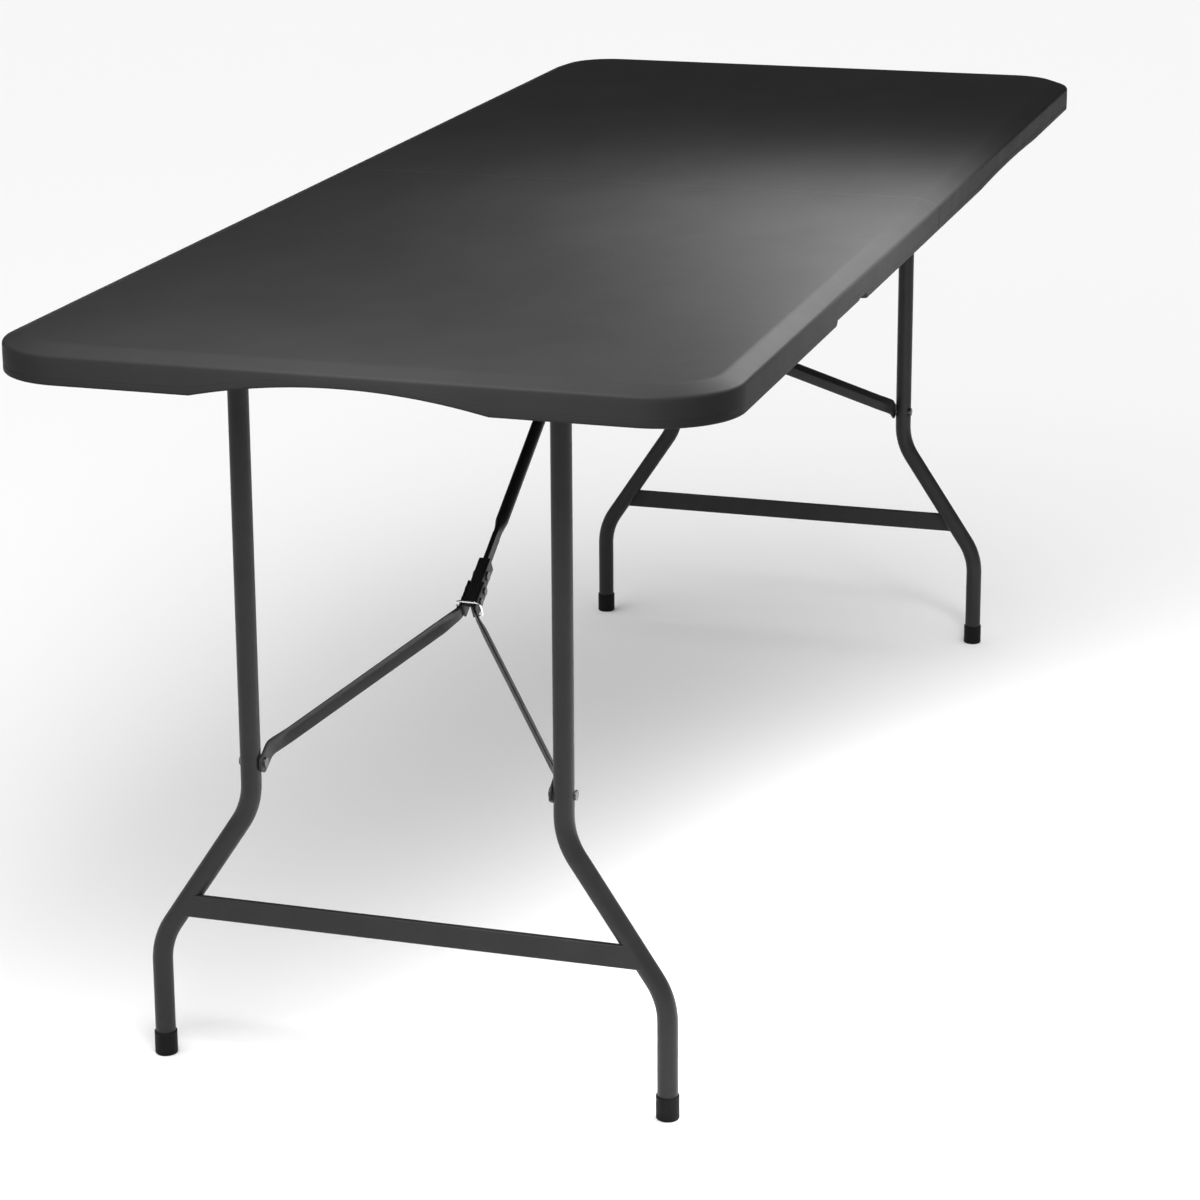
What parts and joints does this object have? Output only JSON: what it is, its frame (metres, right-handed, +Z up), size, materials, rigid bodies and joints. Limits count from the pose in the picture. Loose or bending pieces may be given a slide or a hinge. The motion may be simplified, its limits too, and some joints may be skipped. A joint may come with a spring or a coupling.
{
  "type": "folding table",
  "caption": "Long folding table: moulded two-part top that closes like a book, on splayed tubular leg sets held open by Y-shaped folding braces with locking rings.",
  "frame": {"origin": "on the floor under the middle of the top", "axes": "+X along the length from the handle half to the plain half, +Y across, +Z up"},
  "size_m": [1.8, 0.7, 0.75],
  "materials": {
    "top_plastic": "finely grained blow-moulded polyethylene, dark charcoal",
    "leg_steel": "satin dark grey powder coat",
    "rail_steel": "satin dark powder coat",
    "cap_plastic": "soft black plastic",
    "handle_plastic": "smooth black plastic",
    "rivet_steel": "dark coated rivets, worn brighter at the rim",
    "zinc_steel": "bright zinc plating",
    "bright_wire": "bright drawn wire"
  },
  "bodies": {
    "half_a": {"handle_retainer": "zinc_steel", "hinge_pin_left": "zinc_steel", "hinge_pin_right": "zinc_steel", "hinge_plate_a_left": "rail_steel", "hinge_plate_a_right": "rail_steel", "hinge_washer_left": "zinc_steel", "hinge_washer_right": "zinc_steel", "latch_screw": "zinc_steel", "plate_rivets_a": "rivet_steel", "rail_screws_a": "zinc_steel", "retainer_screws": "zinc_steel", "side_rail_a_left": "rail_steel", "side_rail_a_right": "rail_steel", "strut_bracket_a": "rail_steel", "strut_bracket_screws_a": "zinc_steel", "strut_pin_a": "zinc_steel", "tabletop_a": "top_plastic"},
    "half_b": {"hinge_plate_b_left": "rail_steel", "hinge_plate_b_right": "rail_steel", "latch_catch": "zinc_steel", "plate_rivets_b": "rivet_steel", "rail_screws_b": "zinc_steel", "side_rail_b_left": "rail_steel", "side_rail_b_right": "rail_steel", "strut_bracket_b": "rail_steel", "strut_bracket_screws_b": "zinc_steel", "strut_pin_b": "zinc_steel", "tabletop_b": "top_plastic"},
    "leg_set_a": {"foot_cap_a_left": "cap_plastic", "foot_cap_a_right": "cap_plastic", "leg_pivot_tube_a": "leg_steel", "leg_rivets_a": "rivet_steel", "leg_tube_a_left": "leg_steel", "leg_tube_a_right": "leg_steel", "pivot_caps_a": "cap_plastic", "stretcher_a": "leg_steel"},
    "leg_set_b": {"foot_cap_b_left": "cap_plastic", "foot_cap_b_right": "cap_plastic", "leg_pivot_tube_b": "leg_steel", "leg_rivets_b": "rivet_steel", "leg_tube_b_left": "leg_steel", "leg_tube_b_right": "leg_steel", "pivot_caps_b": "cap_plastic", "stretcher_b": "leg_steel"},
    "strut_a": {"brace_strut_a": "leg_steel"},
    "strut_b": {"brace_strut_b": "leg_steel"},
    "fork_a": {"arm_rivets_a": "rivet_steel", "brace_arm_a_left": "leg_steel", "brace_arm_a_right": "leg_steel", "knee_bracket_a": "leg_steel", "knee_rivet_a": "rivet_steel"},
    "fork_b": {"arm_rivets_b": "rivet_steel", "brace_arm_b_left": "leg_steel", "brace_arm_b_right": "leg_steel", "knee_bracket_b": "leg_steel", "knee_rivet_b": "rivet_steel"},
    "ring_a": {"lock_ring_a": "bright_wire"},
    "ring_b": {"lock_ring_b": "bright_wire"},
    "handle": {"carry_handle": "handle_plastic"},
    "latch": {"latch_hook": "zinc_steel"}
  },
  "joints": [
    {"name": "table_fold", "type": "hinge", "parent": "half_a", "child": "half_b", "pos_m": [0, 0, 0.715], "axis": [0, 1, 0], "range_deg": [0, 90]},
    {"name": "leg_a_fold", "type": "hinge", "parent": "half_a", "child": "leg_set_a", "pos_m": [-0.748, 0, 0.726], "axis": [0, -1, 0], "range_deg": [0, 90]},
    {"name": "strut_a_fold", "type": "hinge", "parent": "half_a", "child": "strut_a", "pos_m": [-0.044, 0, 0.73], "axis": [0, 1, 0], "range_deg": [0, 30.66]},
    {"name": "knee_a", "type": "hinge", "parent": "strut_a", "child": "fork_a", "pos_m": [-0.52002, 0, 0.44779], "axis": [0, -1, 0], "range_deg": [0, 180]},
    {"name": "ring_a_slide", "type": "slide", "parent": "fork_a", "child": "ring_a", "axis": [0.8602, 0, 0.51], "range_m": [0, 0.02]},
    {"name": "leg_b_fold", "type": "hinge", "parent": "half_b", "child": "leg_set_b", "pos_m": [0.748, 0, 0.726], "axis": [0, 1, 0], "range_deg": [0, 90]},
    {"name": "strut_b_fold", "type": "hinge", "parent": "half_b", "child": "strut_b", "pos_m": [0.044, 0, 0.73], "axis": [0, -1, 0], "range_deg": [0, 30.66]},
    {"name": "knee_b", "type": "hinge", "parent": "strut_b", "child": "fork_b", "pos_m": [0.52002, 0, 0.44779], "axis": [0, 1, 0], "range_deg": [0, 180]},
    {"name": "ring_b_slide", "type": "slide", "parent": "fork_b", "child": "ring_b", "axis": [-0.8602, 0, 0.51], "range_m": [0, 0.02]},
    {"name": "handle_slide", "type": "slide", "parent": "half_a", "child": "handle", "axis": [0, -1, 0], "range_m": [0, 0.074]},
    {"name": "latch_swing", "type": "hinge", "parent": "half_a", "child": "latch", "pos_m": [-0.864, 0, 0.736], "axis": [-1, 0, 0], "range_deg": [0, 90]}
  ],
  "couplings": [
    {"joint": "strut_a_fold", "follows": "leg_a_fold", "ratio": 0.34069},
    {"joint": "knee_a", "follows": "leg_a_fold", "ratio": 2},
    {"joint": "strut_b_fold", "follows": "leg_b_fold", "ratio": 0.34069},
    {"joint": "knee_b", "follows": "leg_b_fold", "ratio": 2}
  ]
}
